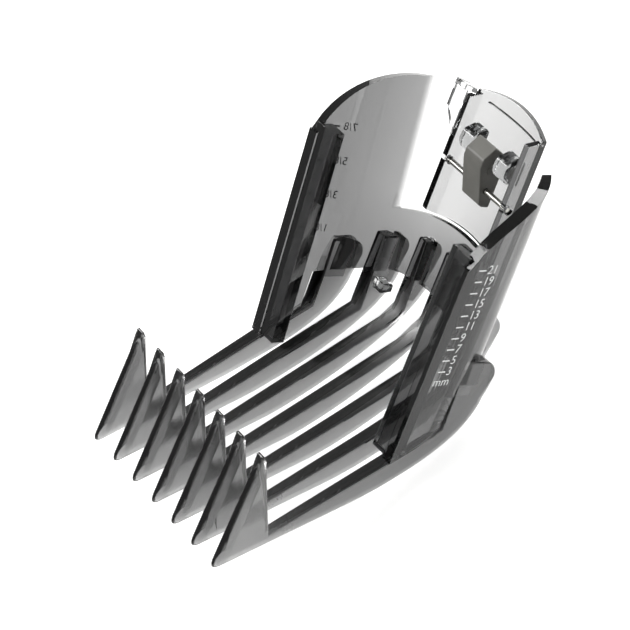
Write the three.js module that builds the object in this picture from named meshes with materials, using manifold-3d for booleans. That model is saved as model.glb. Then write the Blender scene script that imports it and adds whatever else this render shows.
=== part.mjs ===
// Adjustable guide comb for a hair clipper: a clear smoky sleeve that slides over the clipper's head, seven
// toothed ribs that hold the blade off the skin, and a sprung length selector in the sleeve's back window.
//
// Everything is drawn in the sleeve's own frame: +Z runs up the slide, +Y points to the back wall, -Y to the
// teeth, and X goes across, with the middle rib at x = 0. The whole comb is then leaned back until it stands
// on the heels of its ribs, with the origin in the middle of its footprint. Sizes are in millimetres.
import * as THREE from "three";
import { mergeVertices } from "three/addons/utils/BufferGeometryUtils.js";
import Module from "manifold-3d";

const wasm = await Module();
wasm.setup();

// ---- driving dimensions -------------------------------------------------------------------------------
const REST_LEAN = 46; // degrees that the slide leans back when the comb stands on the heels of its ribs
const GAP = 0.3; // seam left between pieces that touch
const SIDES = 28; // points round half of the sleeve

const sleeve = {
  halfWidth: 22.15, // outside, at the lower front corners
  flare: 0.056, // growth of the half width for each millimetre up
  depth: 20.8, // front edge to the outside of the back wall
  squareness: 2.6, // exponent of the section: 2 is an ellipse, more is boxier
  sideWall: 2.2,
  backWall: 1.2, // above thickUntil
  footWall: 2.3, // back wall at its lower rim
  thickFrom: 14, // height of the lower rim's thick wall
  thickUntil: 31, // height where the back wall has thinned to backWall
  frontEdge: 38.7, // height of the straight front edges
  frontLean: 0.6, // how far back the top edge starts
  backHeight: 54.2, // height that the top edge would reach at the middle of the back
};
// The lower rim in side view follows the outer ribs, steps up and rises round the back: [y, z] up to the
// step, then [forward of the back's outside, z].
const rim = {
  foot: 0,
  step: 8.9,
  stepFoot: 5.7,
  stepTop: 12.6,
  rise: [[6.8, 13.8], [3.8, 15.3], [0.8, 17.9], [-1, 18.9]],
};
// The top edge sweeps up to the back between two handles, [y, z] and [forward of the back's outside, z].
const topEdge = { lowHandle: [2.4, 44.8], highHandle: [10.8, 50.2], past: 1 };
// Heights of the window's sill at its sides and its middle, and the window's half widths.
const windowCut = { footHalf: 15.4, topHalf: 17.2, shoulder: 27.9, crown: 30.9 };
// The lips turned in from the side walls' front edges; reach runs in from the sleeve's outside.
const rail = { reach: 6.0, front: 0.3, back: 3.0, foot: -3, top: 40.6 };
const rib = {
  count: 7,
  rootInset: 1.69, // from the sleeve's outside to the middle of the outermost rib, at its root
  toothInset: 2.56, // and at its tooth
  toothWidth: 2.3,
  rootWidth: 3.3,
  finTopShare: 0.66, // width of a fin's top as a share of its root's
  thinFrom: 12, // height where the fins begin to thin
  topSlope: 0.69, // rise of the ribs' upper edge for each millimetre back
  finRound: 2.7, // rounding of each fin's top
  finProud: 1.8, // how far the middle fin stands out behind the sleeve
  sideProud: 3.35, // and how far the oval of the fins' backs passes its sides
  finTop: 27.3, // height of the middle fin
  finDrop: 0.0193, // fall of the fins' tops, per square millimetre off the middle
  finBack: 6, // height of the straight back of each fin
  rootFront: [3.2, 3.8, 7.3], // front face of the inner ribs' roots, forward of the back's outside
  rootLean: 0.3, // how far the root's front face leans back
};
// The end of the ribs' straight working edge, and the handles of the curve from there up the heel.
const skin = { endY: -4, endZ: -8.25, rise: 5.6, run: 6, drop: 9 };
const tooth = {
  tipY: -28.2,
  tipZ: -20.05,
  tipRound: 1.6,
  peakY: -25.3,
  peakZ: 2.3,
  peakRound: 1.5,
  footY: -19.4, // where the tooth meets the sloping upper edge
};
// A lug fills the space between two ribs but for a side clearance; the lift puts its foot above the rim's rise.
const lug = { side: 0.35, length: 2.7, height: 2.4, taper: 0.5, lift: 0.4 };
const arm = {
  halfWidth: 9.5,
  height: 25.2,
  shoulder: 23.4, // height of the top edge at its corners
  plate: 1.2,
  bend: 36, // radius of its section
  lean: 2.6, // degrees back from the slide
  seam: 0.4, // gap above the window's sill
  flange: 1.4,
  flangeCorner: 0.8, // cut off the flange's upper front corner
  grooveHalf: 7,
  grooveZ: 21.7,
  grooveWidth: 0.8,
  grooveDepth: 0.6,
};
// The moulded root that bends lies along the middle of the window's sill, just inside the back's outer face.
const hinge = { y: sleeve.depth - 0.3, z: windowCut.crown + 0.05 };
// The pin stops an inset short of the flanges' outsides, clear in their holes and gripped by the block. Each
// flange leaves a web behind the hole and a rim in front of it.
const pin = { radius: 0.55, z: 10.1, inset: 0.4, fit: 0.25, grip: 0.05, web: 0.1, rim: 0.4 };
// The latch block's corners: heights in the arm's frame, and how far forward each stands of its inner face.
const block = {
  width: 5.4,
  foot: 6.9,
  back: 0.4,
  shoulder: 15.4,
  top: 17.2,
  topBack: 1.6,
  crown: 18.2,
  crownBack: 3.6,
  noseTop: 15.8,
  noseFoot: 14.2,
  nose: 5.5,
  toeFront: 2.75,
  toe: 1.9,
};
const cheek = { inner: 3.1, side: 1.1, foot: 13.6, top: 18.6, depth: 3.2, chamfer: 0.6, brow: 1.6 };
const hook = {
  reach: 3,
  nose: 0.5,
  noseRise: 1.6,
  foot: 14.4,
  waist: 20.2,
  top: 25.4,
  slant: 0.8,
  thick: 0.9,
  tab: 3, // length and reach of the tab turned in across its top
  tabThick: 1.1,
};

// ---- shapes -------------------------------------------------------------------------------------------
const clamp01 = (t) => Math.min(1, Math.max(0, t));
const mix = (a, b, t) => a + (b - a) * t;

// A closed mesh as a manifold-3d solid, and back again.
function solid(geometry) {
  const bare = geometry.clone();
  bare.deleteAttribute("normal");
  bare.deleteAttribute("uv");
  const merged = mergeVertices(bare, 1e-4);
  return new wasm.Manifold(
    new wasm.Mesh({
      numProp: 3,
      vertProperties: new Float32Array(merged.attributes.position.array),
      triVerts: new Uint32Array(merged.index.array),
    }),
  );
}
function surface(body) {
  const { numProp, numVert, vertProperties, triVerts } = body.getMesh();
  const positions = new Float32Array(numVert * 3);
  for (let i = 0; i < numVert; i++) {
    positions.set(vertProperties.subarray(i * numProp, i * numProp + 3), i * 3);
  }
  const geometry = new THREE.BufferGeometry();
  geometry.setAttribute("position", new THREE.BufferAttribute(positions, 3));
  geometry.setIndex(new THREE.BufferAttribute(new Uint32Array(triVerts), 1));
  geometry.computeVertexNormals();
  return geometry;
}

// A side outline, drawn in (y, z), made solid between two places across.
const acrossFrame = new THREE.Matrix4().makeBasis(
  new THREE.Vector3(0, 1, 0),
  new THREE.Vector3(0, 0, 1),
  new THREE.Vector3(1, 0, 0),
);
function across(shape, from, to, curveSegments = 8) {
  const geometry = new THREE.ExtrudeGeometry(shape, { depth: to - from, bevelEnabled: false, curveSegments });
  return geometry.translate(0, 0, from).applyMatrix4(acrossFrame);
}

// An outline drawn in (x, z), made solid from front to back.
function throughBack(shape, from, to) {
  const depth = to - from;
  const geometry = new THREE.ExtrudeGeometry(shape, { depth, bevelEnabled: false, curveSegments: 24 });
  return geometry.rotateX(Math.PI / 2).translate(0, to, 0);
}

const outline = (points) => new THREE.Shape(points.map(([a, b]) => new THREE.Vector2(a, b)));

// A closed body through a stack of rings of [x, y, z] points, seen anticlockwise from the last ring's side.
// flatten drops the coordinate that the stack runs along, so that the two ends can be filled.
function loft(rings, flatten = ([x, y]) => [x, y]) {
  const size = rings[0].length;
  const index = [];
  for (let level = 0; level + 1 < rings.length; level++) {
    for (let k = 0; k < size; k++) {
      const a = level * size + k;
      const b = level * size + ((k + 1) % size);
      index.push(a, b, b + size, a, b + size, a + size);
    }
  }
  const flat = rings[0].map((point) => new THREE.Vector2(...flatten(point)));
  const last = (rings.length - 1) * size;
  for (const [a, b, c] of THREE.ShapeUtils.triangulateShape(flat, [])) {
    index.push(c, b, a, last + a, last + b, last + c);
  }
  const geometry = new THREE.BufferGeometry();
  geometry.setAttribute("position", new THREE.Float32BufferAttribute(rings.flat(2), 3));
  geometry.setIndex(index);
  return geometry;
}

// ---- the sleeve's section -----------------------------------------------------------------------------
const halfWidthAt = (z) => sleeve.halfWidth + sleeve.flare * z;
function backWallAt(z) {
  const thinned = clamp01((z - sleeve.thickFrom) / (sleeve.thickUntil - sleeve.thickFrom));
  return mix(sleeve.footWall, sleeve.backWall, thinned);
}
// Half of a rounded box, from +X round the back to -X.
function halfOval(halfWidth, depth, z) {
  const points = [];
  for (let k = 0; k <= SIDES; k++) {
    const angle = (Math.PI * k) / SIDES;
    const power = 2 / sleeve.squareness;
    const x = halfWidth * Math.sign(Math.cos(angle)) * Math.abs(Math.cos(angle)) ** power;
    points.push([x, depth * Math.abs(Math.sin(angle)) ** power, z]);
  }
  return points;
}
const BELOW = -30; // blanks run past everything: down, up, aside
const ABOVE = 75;
const ASIDE = 40;
const FORWARD = -6; // how far blanks run past the front edge before they are trimmed
function sleeveRing(z) {
  const wide = halfWidthAt(z);
  const outer = halfOval(wide, sleeve.depth, z);
  const inner = halfOval(wide - sleeve.sideWall, sleeve.depth - backWallAt(z), z).reverse();
  return [[wide, FORWARD, z], ...outer, [-wide, FORWARD, z],
    [sleeve.sideWall - wide, FORWARD, z], ...inner, [wide - sleeve.sideWall, FORWARD, z]];
}
// What the sleeve fills with its hollow, grown by the seam: the ribs and fins are cut back to it.
function fullRing(z, grow) {
  const wide = halfWidthAt(z) + grow;
  return [[wide, FORWARD, z], ...halfOval(wide, sleeve.depth + grow, z), [-wide, FORWARD, z]];
}

// Side view of the sleeve, or with a drop the room that it needs: its rim is lowered and moved off the ribs.
function sideView(drop) {
  const { depth, frontEdge, frontLean, backHeight } = sleeve;
  const shape = new THREE.Shape();
  shape.moveTo(0, rim.foot - drop);
  shape.lineTo(rim.step, rim.stepFoot - drop);
  shape.lineTo(rim.step + drop, rim.stepTop - drop);
  for (const [forward, z] of rim.rise) shape.lineTo(depth - forward, z - drop);
  const [low, high] = [topEdge.lowHandle, topEdge.highHandle];
  shape.lineTo(depth + topEdge.past, backHeight);
  shape.bezierCurveTo(depth - high[0], high[1], low[0], low[1], frontLean, frontEdge);
  shape.lineTo(drop ? FORWARD : 0, drop ? frontEdge : 0);
  if (drop) shape.lineTo(FORWARD, FORWARD * rib.topSlope - drop);
  return shape;
}

// The sleeve: its rings trimmed to the side view, with the selector's window through the back.
function makeSleeve() {
  const heights = [BELOW, sleeve.thickFrom, sleeve.thickUntil, ABOVE];
  const blank = solid(loft(heights.map(sleeveRing)));
  const trimmed = blank.intersect(solid(across(sideView(0), -ASIDE, ASIDE, 20)));
  const hole = new THREE.Shape();
  hole.moveTo(-windowCut.footHalf, windowCut.shoulder);
  hole.quadraticCurveTo(0, 2 * windowCut.crown - windowCut.shoulder, windowCut.footHalf, windowCut.shoulder);
  hole.lineTo(windowCut.topHalf, ABOVE);
  hole.lineTo(-windowCut.topHalf, ABOVE);
  return surface(trimmed.subtract(solid(throughBack(hole, sleeve.depth / 4, ASIDE))));
}

// One lip, along a side wall's front edge; the clipper's head is held behind it.
function makeRail(side) {
  const ring = (z) => {
    const inner = halfWidthAt(z) - rail.reach;
    const wall = halfWidthAt(z) - sleeve.sideWall - GAP;
    const half = [[inner, rail.front], [wall, rail.front], [wall, rail.back], [inner, rail.back]];
    const placed = half.map(([x, y]) => [side * x, y, z]);
    return side > 0 ? placed : placed.reverse();
  };
  const bar = solid(loft([ring(rail.foot), ring(rail.top)]));
  return surface(bar.intersect(solid(across(sideView(0), -ASIDE, ASIDE, 20))));
}

// ---- ribs ---------------------------------------------------------------------------------------------
const middleRib = (rib.count - 1) / 2;
const rootPitch = (sleeve.halfWidth - rib.rootInset) / middleRib;
const toothPitch = (sleeve.halfWidth - rib.toothInset) / middleRib;
// Front faces of the ribs' roots, from the middle out: the outermost stands at the rim's step.
const rootFaces = [...rib.rootFront.map((forward) => sleeve.depth - forward), rim.step];
const finBackAt = (x) => {
  const share = (x / (sleeve.halfWidth + rib.sideProud)) ** sleeve.squareness;
  return (sleeve.depth + rib.finProud) * (1 - share) ** (1 / sleeve.squareness);
};
// The side outline of the rib that stands `place` pitches off the middle, from the tooth's tip round its
// front, up the sloping edge, over the fin and down the heel to the skin.
function ribOutline(place) {
  const { tipY, tipZ, tipRound, peakY, peakZ, peakRound, footY } = tooth;
  const x = Math.abs(place) * rootPitch;
  const back = finBackAt(x);
  const top = rib.finTop - rib.finDrop * x * x;
  const face = rootFaces[Math.abs(place)];
  const heel = top - rib.finBack;
  const shape = new THREE.Shape();
  shape.moveTo(tipY + tipRound, tipZ + tipRound / 10);
  shape.quadraticCurveTo(tipY - tipRound / 4, tipZ - tipRound / 2, tipY, tipZ + tipRound);
  shape.lineTo(peakY - peakRound / 2, peakZ - peakRound);
  const third = peakRound / 3;
  shape.quadraticCurveTo(peakY - third, peakZ + third, peakY + third, peakZ - peakRound);
  shape.lineTo(footY, footY * rib.topSlope);
  shape.lineTo(face, face * rib.topSlope);
  shape.lineTo(face + rib.rootLean, top);
  shape.lineTo(back - rib.finRound, top);
  shape.quadraticCurveTo(back, top, back, top - rib.finRound);
  shape.lineTo(back, heel);
  shape.bezierCurveTo(back, heel - skin.drop, skin.run, skin.endZ + skin.rise, skin.endY, skin.endZ);
  return shape;
}

// The rib itself: the outline given its width, thicker at the root, and cut clear of the sleeve.
function makeRib(place) {
  const geometry = across(ribOutline(place), -0.5, 0.5, 10);
  const at = geometry.attributes.position;
  const rootY = rootFaces[0];
  for (let i = 0; i < at.count; i++) {
    const [y, z] = [at.getY(i), at.getZ(i)];
    const pitch = mix(toothPitch, rootPitch, clamp01(1 - y / tooth.tipY));
    const along = mix(rib.toothWidth, rib.rootWidth, clamp01((y - tooth.footY) / (rootY - tooth.footY)));
    const thinned = mix(1, rib.finTopShare, clamp01((z - rib.thinFrom) / (rib.finTop - rib.thinFrom)));
    at.setX(i, place * pitch + at.getX(i) * along * thinned);
  }
  const ringed = solid(loft([BELOW, ABOVE].map((z) => fullRing(z, GAP))));
  const keepOut = ringed.intersect(solid(across(sideView(GAP), -ASIDE, ASIDE, 20)));
  return surface(solid(geometry).subtract(keepOut));
}

// A small lug on the inside of the thick rear rim, above the space between two ribs.
function makeLug(side) {
  const x = side * 1.5 * rootPitch;
  const foot = rim.rise[0][1] + lug.lift;
  const half = (rootPitch - rib.rootWidth) / 2 - lug.side;
  const reach = (Math.abs(x) + half) / (halfWidthAt(foot) - sleeve.sideWall);
  const wall = (sleeve.depth - sleeve.footWall) * (1 - reach ** sleeve.squareness) ** (1 / sleeve.squareness);
  const back = wall - GAP;
  const front = back - lug.length;
  const shape = outline([[front, foot], [back, foot + lug.taper / 2], [back, foot + lug.height - lug.taper],
    [front, foot + lug.height]]);
  return across(shape, x - half, x + half);
}

// ---- the length selector, in its own frame: its hinge line is the origin and z runs up the arm ---------
const bendAt = (x) => -(x * x) / (2 * arm.bend);
const pinHole = pin.radius + pin.fit;
const flangeBack = bendAt(arm.halfWidth) - GAP;
const flangeFront = flangeBack - pin.web - 2 * pinHole - pin.rim;
const pinY = flangeBack - pin.web - pinHole;
// A strip of the arm's bent plate; y is measured from its inner face, and each end may follow a curve in x.
function bentPlate(half, inner, outer, footAt, topAt) {
  const steps = 16;
  const rings = Array.from({ length: steps + 1 }, (_, k) => {
    const x = mix(-half, half, k / steps);
    const [near, far] = [bendAt(x) + inner, bendAt(x) + outer];
    return [[x, near, footAt(x)], [x, far, footAt(x)], [x, far, topAt(x)], [x, near, topAt(x)]];
  });
  return loft(rings, ([, y, z]) => [y, z]);
}
const sillAt = (x) => mix(windowCut.crown, windowCut.shoulder, (x / windowCut.footHalf) ** 2) - hinge.z;
const armTopAt = (x) => mix(arm.height, arm.shoulder, (x / arm.halfWidth) ** 2);

// The arm's bent plate, with a finger groove across its outer face near the top.
function makeArm() {
  const plate = bentPlate(arm.halfWidth, 0, arm.plate, (x) => sillAt(x) + arm.seam, armTopAt);
  const low = () => arm.grooveZ;
  const high = () => arm.grooveZ + arm.grooveWidth;
  const groove = bentPlate(arm.grooveHalf, arm.plate - arm.grooveDepth, arm.plate + 1, low, high);
  return surface(solid(plate).subtract(solid(groove)));
}

const roundHole = (y, z, radius) => new THREE.Path().absarc(y, z, radius, 0, 2 * Math.PI, true);

function makeFlange(side) {
  const foot = sillAt(arm.halfWidth) + arm.seam + GAP;
  const top = arm.shoulder - GAP;
  const cut = arm.flangeCorner;
  const shape = outline([[flangeBack, foot], [flangeBack, top], [flangeFront, top - cut],
    [flangeFront, foot + cut]]);
  shape.holes.push(roundHole(pinY, pin.z, pinHole));
  const outer = side * arm.halfWidth;
  const inner = outer - side * arm.flange;
  return across(shape, Math.min(inner, outer), Math.max(inner, outer), 12);
}

// The hook ear stands forward from the left flange's upper end, with a tab turned in across its top.
function makeHookEar() {
  const back = flangeFront - GAP;
  const front = back - hook.reach;
  const shape = outline([[back, hook.foot], [back - hook.nose, hook.foot + hook.noseRise], [front, hook.waist],
    [front, hook.top], [back, hook.top - hook.slant]]);
  const [low, end] = [hook.top - hook.slant, front + hook.tab];
  const tab = outline([[front, hook.top - hook.tabThick], [front, hook.top], [end, low], [end, low - hook.tabThick]]);
  const side = -arm.halfWidth;
  return surface(solid(across(shape, side, side + hook.thick)).add(solid(across(tab, side, side + hook.tab))));
}

// A raised pad on the arm's inner face, beside the latch block.
function makeCheek(side) {
  const { inner, foot, top, depth, chamfer, brow } = cheek;
  const outer = arm.halfWidth - arm.flange - cheek.side;
  const shape = new THREE.Shape();
  const edge = bendAt(outer) - GAP;
  shape.moveTo(edge, foot);
  shape.lineTo(edge, top);
  shape.lineTo(edge - chamfer, top);
  shape.quadraticCurveTo(edge - depth, top - chamfer, edge - depth, foot + brow);
  shape.lineTo(edge - depth + chamfer, foot);
  const [near, far] = [inner, outer].map((x) => x * side);
  return across(shape, Math.min(near, far), Math.max(near, far), 6);
}

// The grey latch block, drawn about its pivot pin: a wedge whose nose drops into the clipper's notches.
function makeBlock() {
  const side = [[-block.back, block.foot], [-block.back, block.shoulder], [-block.topBack, block.top],
    [-block.crownBack, block.crown], [-block.nose, block.noseTop], [-block.nose, block.noseFoot],
    [-block.toeFront, block.foot + 0.4], [-block.toe, block.foot]];
  const shape = outline(side.map(([y, z]) => [y - pinY, z - pin.z]));
  shape.holes.push(roundHole(0, 0, pin.radius + pin.grip));
  return across(shape, -block.width / 2, block.width / 2, 16);
}

function makePin() {
  const length = 2 * (arm.halfWidth - pin.inset);
  return new THREE.CylinderGeometry(pin.radius, pin.radius, length, 24).rotateZ(Math.PI / 2);
}

// ---- finishes -----------------------------------------------------------------------------------------
const smoky = new THREE.MeshStandardMaterial({ color: "#8e8e90", roughness: 0.12, metalness: 0 });
const smokyDark = new THREE.MeshStandardMaterial({ color: "#5c5c62", roughness: 0.12, metalness: 0 });
const lightSmoky = new THREE.MeshStandardMaterial({ color: "#b2b3b4", roughness: 0.12, metalness: 0 });
const clear = new THREE.MeshStandardMaterial({ color: "#c9cbcb", roughness: 0.1, metalness: 0 });
const greyPlastic = new THREE.MeshStandardMaterial({ color: "#6b6a66", roughness: 0.5, metalness: 0 });
const steel = new THREE.MeshStandardMaterial({ color: "#b9b9b6", roughness: 0.3, metalness: 1 });

function piece(name, geometry, material) {
  const mesh = new THREE.Mesh(geometry, material);
  mesh.name = name;
  return mesh;
}

// ---- assembly -----------------------------------------------------------------------------------------
const comb = new THREE.Group();
comb.add(piece("sleeve_shell", makeSleeve(), smoky));
for (const [side, word] of [[-1, "left"], [1, "right"]]) {
  comb.add(piece(`guide_rail_${word}`, makeRail(side), smokyDark));
  comb.add(piece(`rim_lug_${word}`, makeLug(side), clear));
}
for (let n = 0; n < rib.count; n++) {
  comb.add(piece(`comb_rib_${n + 1}`, makeRib(n - middleRib), smoky));
}

const selector = new THREE.Group();
selector.position.set(0, hinge.y, hinge.z);
selector.rotation.x = -THREE.MathUtils.degToRad(arm.lean);
selector.add(piece("selector_arm", makeArm(), lightSmoky));
selector.add(piece("hook_ear", makeHookEar(), clear));
for (const [side, word] of [[-1, "left"], [1, "right"]]) {
  selector.add(piece(`arm_flange_${word}`, makeFlange(side), lightSmoky));
  selector.add(piece(`latch_cheek_${word}`, makeCheek(side), clear));
}
const latch = new THREE.Group();
latch.position.set(0, pinY, pin.z);
latch.add(piece("latch_pin", makePin(), steel));
latch.add(piece("latch_block", makeBlock(), greyPlastic));
selector.add(latch);
comb.add(selector);

// Lean the comb back on its ribs, and bring the middle of its footprint to the origin.
comb.rotation.x = -THREE.MathUtils.degToRad(REST_LEAN);
const group = new THREE.Group();
group.add(comb);
group.updateMatrixWorld(true);
const box = new THREE.Box3().setFromObject(group, true);
const centre = box.getCenter(new THREE.Vector3());
comb.position.set(-centre.x, -centre.y, -box.min.z);

export default group;
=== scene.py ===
import math

import bmesh
import bpy
from mathutils import Matrix, Vector


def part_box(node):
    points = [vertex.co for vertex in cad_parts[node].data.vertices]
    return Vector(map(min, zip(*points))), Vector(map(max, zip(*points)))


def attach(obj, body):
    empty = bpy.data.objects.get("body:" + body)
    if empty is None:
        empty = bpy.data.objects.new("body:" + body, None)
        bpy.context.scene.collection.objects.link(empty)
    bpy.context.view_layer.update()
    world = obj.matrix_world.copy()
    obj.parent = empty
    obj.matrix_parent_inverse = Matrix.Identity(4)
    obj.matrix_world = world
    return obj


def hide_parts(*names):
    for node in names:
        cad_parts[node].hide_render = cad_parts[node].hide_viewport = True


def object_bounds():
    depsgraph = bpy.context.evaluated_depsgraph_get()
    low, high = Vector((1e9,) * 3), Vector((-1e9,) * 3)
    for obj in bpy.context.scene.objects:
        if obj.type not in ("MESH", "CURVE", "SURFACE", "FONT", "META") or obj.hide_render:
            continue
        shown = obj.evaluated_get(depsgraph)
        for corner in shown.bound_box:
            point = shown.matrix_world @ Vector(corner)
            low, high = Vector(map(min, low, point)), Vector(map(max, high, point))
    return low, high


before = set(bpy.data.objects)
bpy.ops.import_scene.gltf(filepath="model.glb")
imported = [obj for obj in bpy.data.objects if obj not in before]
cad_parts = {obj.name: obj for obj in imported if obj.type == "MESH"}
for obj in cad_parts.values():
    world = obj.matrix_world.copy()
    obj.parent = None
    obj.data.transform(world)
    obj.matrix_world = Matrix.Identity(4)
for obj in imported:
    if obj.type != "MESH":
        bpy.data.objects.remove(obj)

bl_info = {
    "name": "Clipper guide comb",
    "version": (1, 0, 0),
    "blender": (4, 5, 0),
    "location": "3D View > Sidebar > Guide comb",
    "description": "Builds the clear moulded guide comb of a hair clipper, with its sprung length selector",
    "category": "Object",
}

# The comb is drawn in the sleeve's own frame, in millimetres: z runs up the slide, y points to the back wall
# and x goes across, with the middle rib at x = 0. sleeve_to_world leans it back to how it stands.
MM = 0.001
CAD_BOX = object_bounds()


# ---- colours and sizes ----------------------------------------------------------------------------------
def linear(hex_colour):
    """An sRGB hex colour, such as "#8a8a8c", as linear RGB."""
    values = [int(hex_colour[k : k + 2], 16) / 255 for k in (1, 3, 5)]
    return [v / 12.92 if v <= 0.04045 else ((v + 0.055) / 1.055) ** 2.4 for v in values]


def length(name, description, millimetres):
    return bpy.props.FloatProperty(
        name=name, description=description, default=millimetres * MM, unit="LENGTH", precision=5
    )


def colour(name, description, hex_colour):
    return bpy.props.FloatVectorProperty(
        name=name, description=description, default=linear(hex_colour), subtype="COLOR", min=0, max=1
    )


class GuideCombSizes(bpy.types.PropertyGroup):
    lean: bpy.props.FloatProperty(
        name="Lean", description="How far the slide leans back as the comb stands on its ribs",
        default=math.radians(46), subtype="ANGLE",
    )
    half_width: length("Half width", "Half of the sleeve's width at its lower front corners", 22.15)
    depth: length("Depth", "From the sleeve's front edge to the outside of its back wall", 20.8)
    side_wall: length("Side wall", "Thickness of the sleeve's side walls", 2.2)
    back_wall: length("Back wall", "Thickness of the sleeve's back wall beside the window", 1.2)
    foot_wall: length("Foot wall", "Thickness of the back wall at its lower rim", 2.3)
    front_edge: length("Front edge", "Height of the sleeve's straight front edges", 38.7)
    window_foot: length("Window foot", "Half of the window's width at its sill", 15.4)
    window_top: length("Window top", "Half of the window's width at its upper end", 17.2)
    sill_side: length("Sill side", "Height of the window's sill at its two ends", 27.9)
    sill_middle: length("Sill middle", "Height of the window's sill at its middle", 30.9)
    rib_width: length("Rib width", "Thickness of a rib where it meets the sleeve", 3.3)
    tooth_width: length("Tooth width", "Thickness of a tooth", 2.3)
    root_pitch: length("Root pitch", "From rib to rib at the sleeve", 6.82)
    tooth_pitch: length("Tooth pitch", "From tooth to tooth", 6.53)
    edge_round: length("Edge rounding", "Rounding of the mouldings' edges", 0.28)
    glide_depth: length("Glide depth", "How far up the ribs' rounding for the skin reaches", 2.0)
    tick: length("Tick", "From tick to tick on the printed scale", 2.225)
    view_distance: length("View distance", "From the camera to the comb", 655)


class GuideCombColours(bpy.types.PropertyGroup):
    smoke: colour("Smoke", "What a thick piece of the smoky plastic lets through", "#2b2b30")
    clear: colour("Clear", "What a thick piece of the clear plastic lets through", "#8f9496")
    latch: colour("Latch", "The latch block's plastic", "#75746f")
    steel: colour("Steel", "The latch pin's steel", "#b4b3ae")
    white_ink: colour("White ink", "The scale in millimetres", "#e9ebea")
    dark_ink: colour("Dark ink", "The scale in inches", "#1d1e20")
    table: colour("Table", "The surface that the comb stands on", "#f4f4f2")


# ---- placing --------------------------------------------------------------------------------------------
FLARE = 0.056  # growth of the sleeve's half width for each millimetre up
SQUARENESS = 2.6  # exponent of the sleeve's section: 2 is an ellipse, more is boxier
ARM_LEAN = math.radians(2.6)
ARM_FOOT = Vector((0, 20.5, 30.95))
PIN_IN_ARM = Vector((0, -2.4535, 10.1))


def sizes():
    return bpy.context.scene.guide_comb_sizes


def colours():
    return bpy.context.scene.guide_comb_colours


def mm(value):
    return value / MM


def mix(a, b, t):
    return a + (b - a) * t


def clamp01(t):
    return min(1.0, max(0.0, t))


def arm_to_sleeve():
    """The selector arm's own frame, whose origin is its hinge line, in the sleeve's frame."""
    return Matrix.Translation(ARM_FOOT) @ Matrix.Rotation(-ARM_LEAN, 4, "X")


def sleeve_to_world():
    """The sleeve's frame in the world, hung on the middle of the latch pin."""
    lean = Matrix.Rotation(-sizes().lean, 4, "X") @ Matrix.Scale(MM, 4)
    low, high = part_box("latch_pin")
    pin = (Vector(low) + Vector(high)) / 2
    return Matrix.Translation(pin - lean @ (arm_to_sleeve() @ PIN_IN_ARM)) @ lean


# ---- mesh tools -----------------------------------------------------------------------------------------
def mesh_object(name, verts, faces):
    mesh = bpy.data.meshes.new(name)
    mesh.from_pydata([tuple(v) for v in verts], [], faces)
    mesh.update()
    made = bpy.data.objects.new(name, mesh)
    bpy.context.scene.collection.objects.link(made)
    return made


def face_outwards(made):
    """Turns every face of a closed mesh to look outwards."""
    shape = bmesh.new()
    shape.from_mesh(made.data)
    bmesh.ops.recalc_face_normals(shape, faces=shape.faces)
    shape.to_mesh(made.data)
    shape.free()
    return made


def slice_at(shape, normal, at):
    """Adds an edge loop where the plane at a distance along the normal crosses the mesh."""
    parts = shape.verts[:] + shape.edges[:] + shape.faces[:]
    bmesh.ops.bisect_plane(shape, geom=parts, plane_co=normal * at, plane_no=normal)


def bake(made):
    """Applies every modifier of an object."""
    bpy.context.view_layer.update()
    seen = made.evaluated_get(bpy.context.evaluated_depsgraph_get())
    mesh = bpy.data.meshes.new_from_object(seen)
    made.modifiers.clear()
    made.data = mesh


def bevel(made, width, segments=2, angle=30):
    """Rounds the edges that are sharper than an angle in degrees."""
    edge = made.modifiers.new("Bevel", "BEVEL")
    edge.width = width
    edge.segments = segments
    edge.limit_method = "ANGLE"
    edge.angle_limit = math.radians(angle)
    edge.miter_outer = "MITER_ARC"
    bake(made)


def unite(name, base, others):
    """One closed mesh of several that run into each other."""
    tools = bpy.data.collections.new(name + "_parts")
    bpy.context.scene.collection.children.link(tools)
    for other in others:
        for home in list(other.users_collection):
            home.objects.unlink(other)
        tools.objects.link(other)
    join = base.modifiers.new("Union", "BOOLEAN")
    join.operation = "UNION"
    join.operand_type = "COLLECTION"
    join.collection = tools
    join.solver = "EXACT"
    bake(base)
    for other in others:
        bpy.data.objects.remove(other)
    bpy.data.collections.remove(tools)
    base.name = name
    return base


def cut(base, cutter):
    """Takes a closed mesh out of another, and removes it."""
    trim = base.modifiers.new("Cut", "BOOLEAN")
    trim.operation = "DIFFERENCE"
    trim.object = cutter
    trim.solver = "EXACT"
    bake(base)
    bpy.data.objects.remove(cutter)


SIDEWAYS = 0.993  # x of a side face's normal: within 7 degrees of straight out


def tidy(made, flat_sides=False):
    """Smooth shading with crisp corners, and flat sides kept flat where that is asked for."""
    clean = bmesh.new()
    clean.from_mesh(made.data)
    bmesh.ops.remove_doubles(clean, verts=clean.verts, dist=0.002)
    bmesh.ops.dissolve_degenerate(clean, dist=0.001, edges=clean.edges)
    bmesh.ops.recalc_face_normals(clean, faces=clean.faces)
    clean.to_mesh(made.data)
    clean.free()
    made.data.shade_smooth()
    made.data.set_sharp_from_angle(angle=math.radians(32))
    for face in made.data.polygons:
        face.use_smooth = abs(face.normal.x) < SIDEWAYS or not flat_sides
    weigh = made.modifiers.new("Weighted normals", "WEIGHTED_NORMAL")
    weigh.keep_sharp = True
    weigh.weight = 80
    bake(made)


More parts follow.
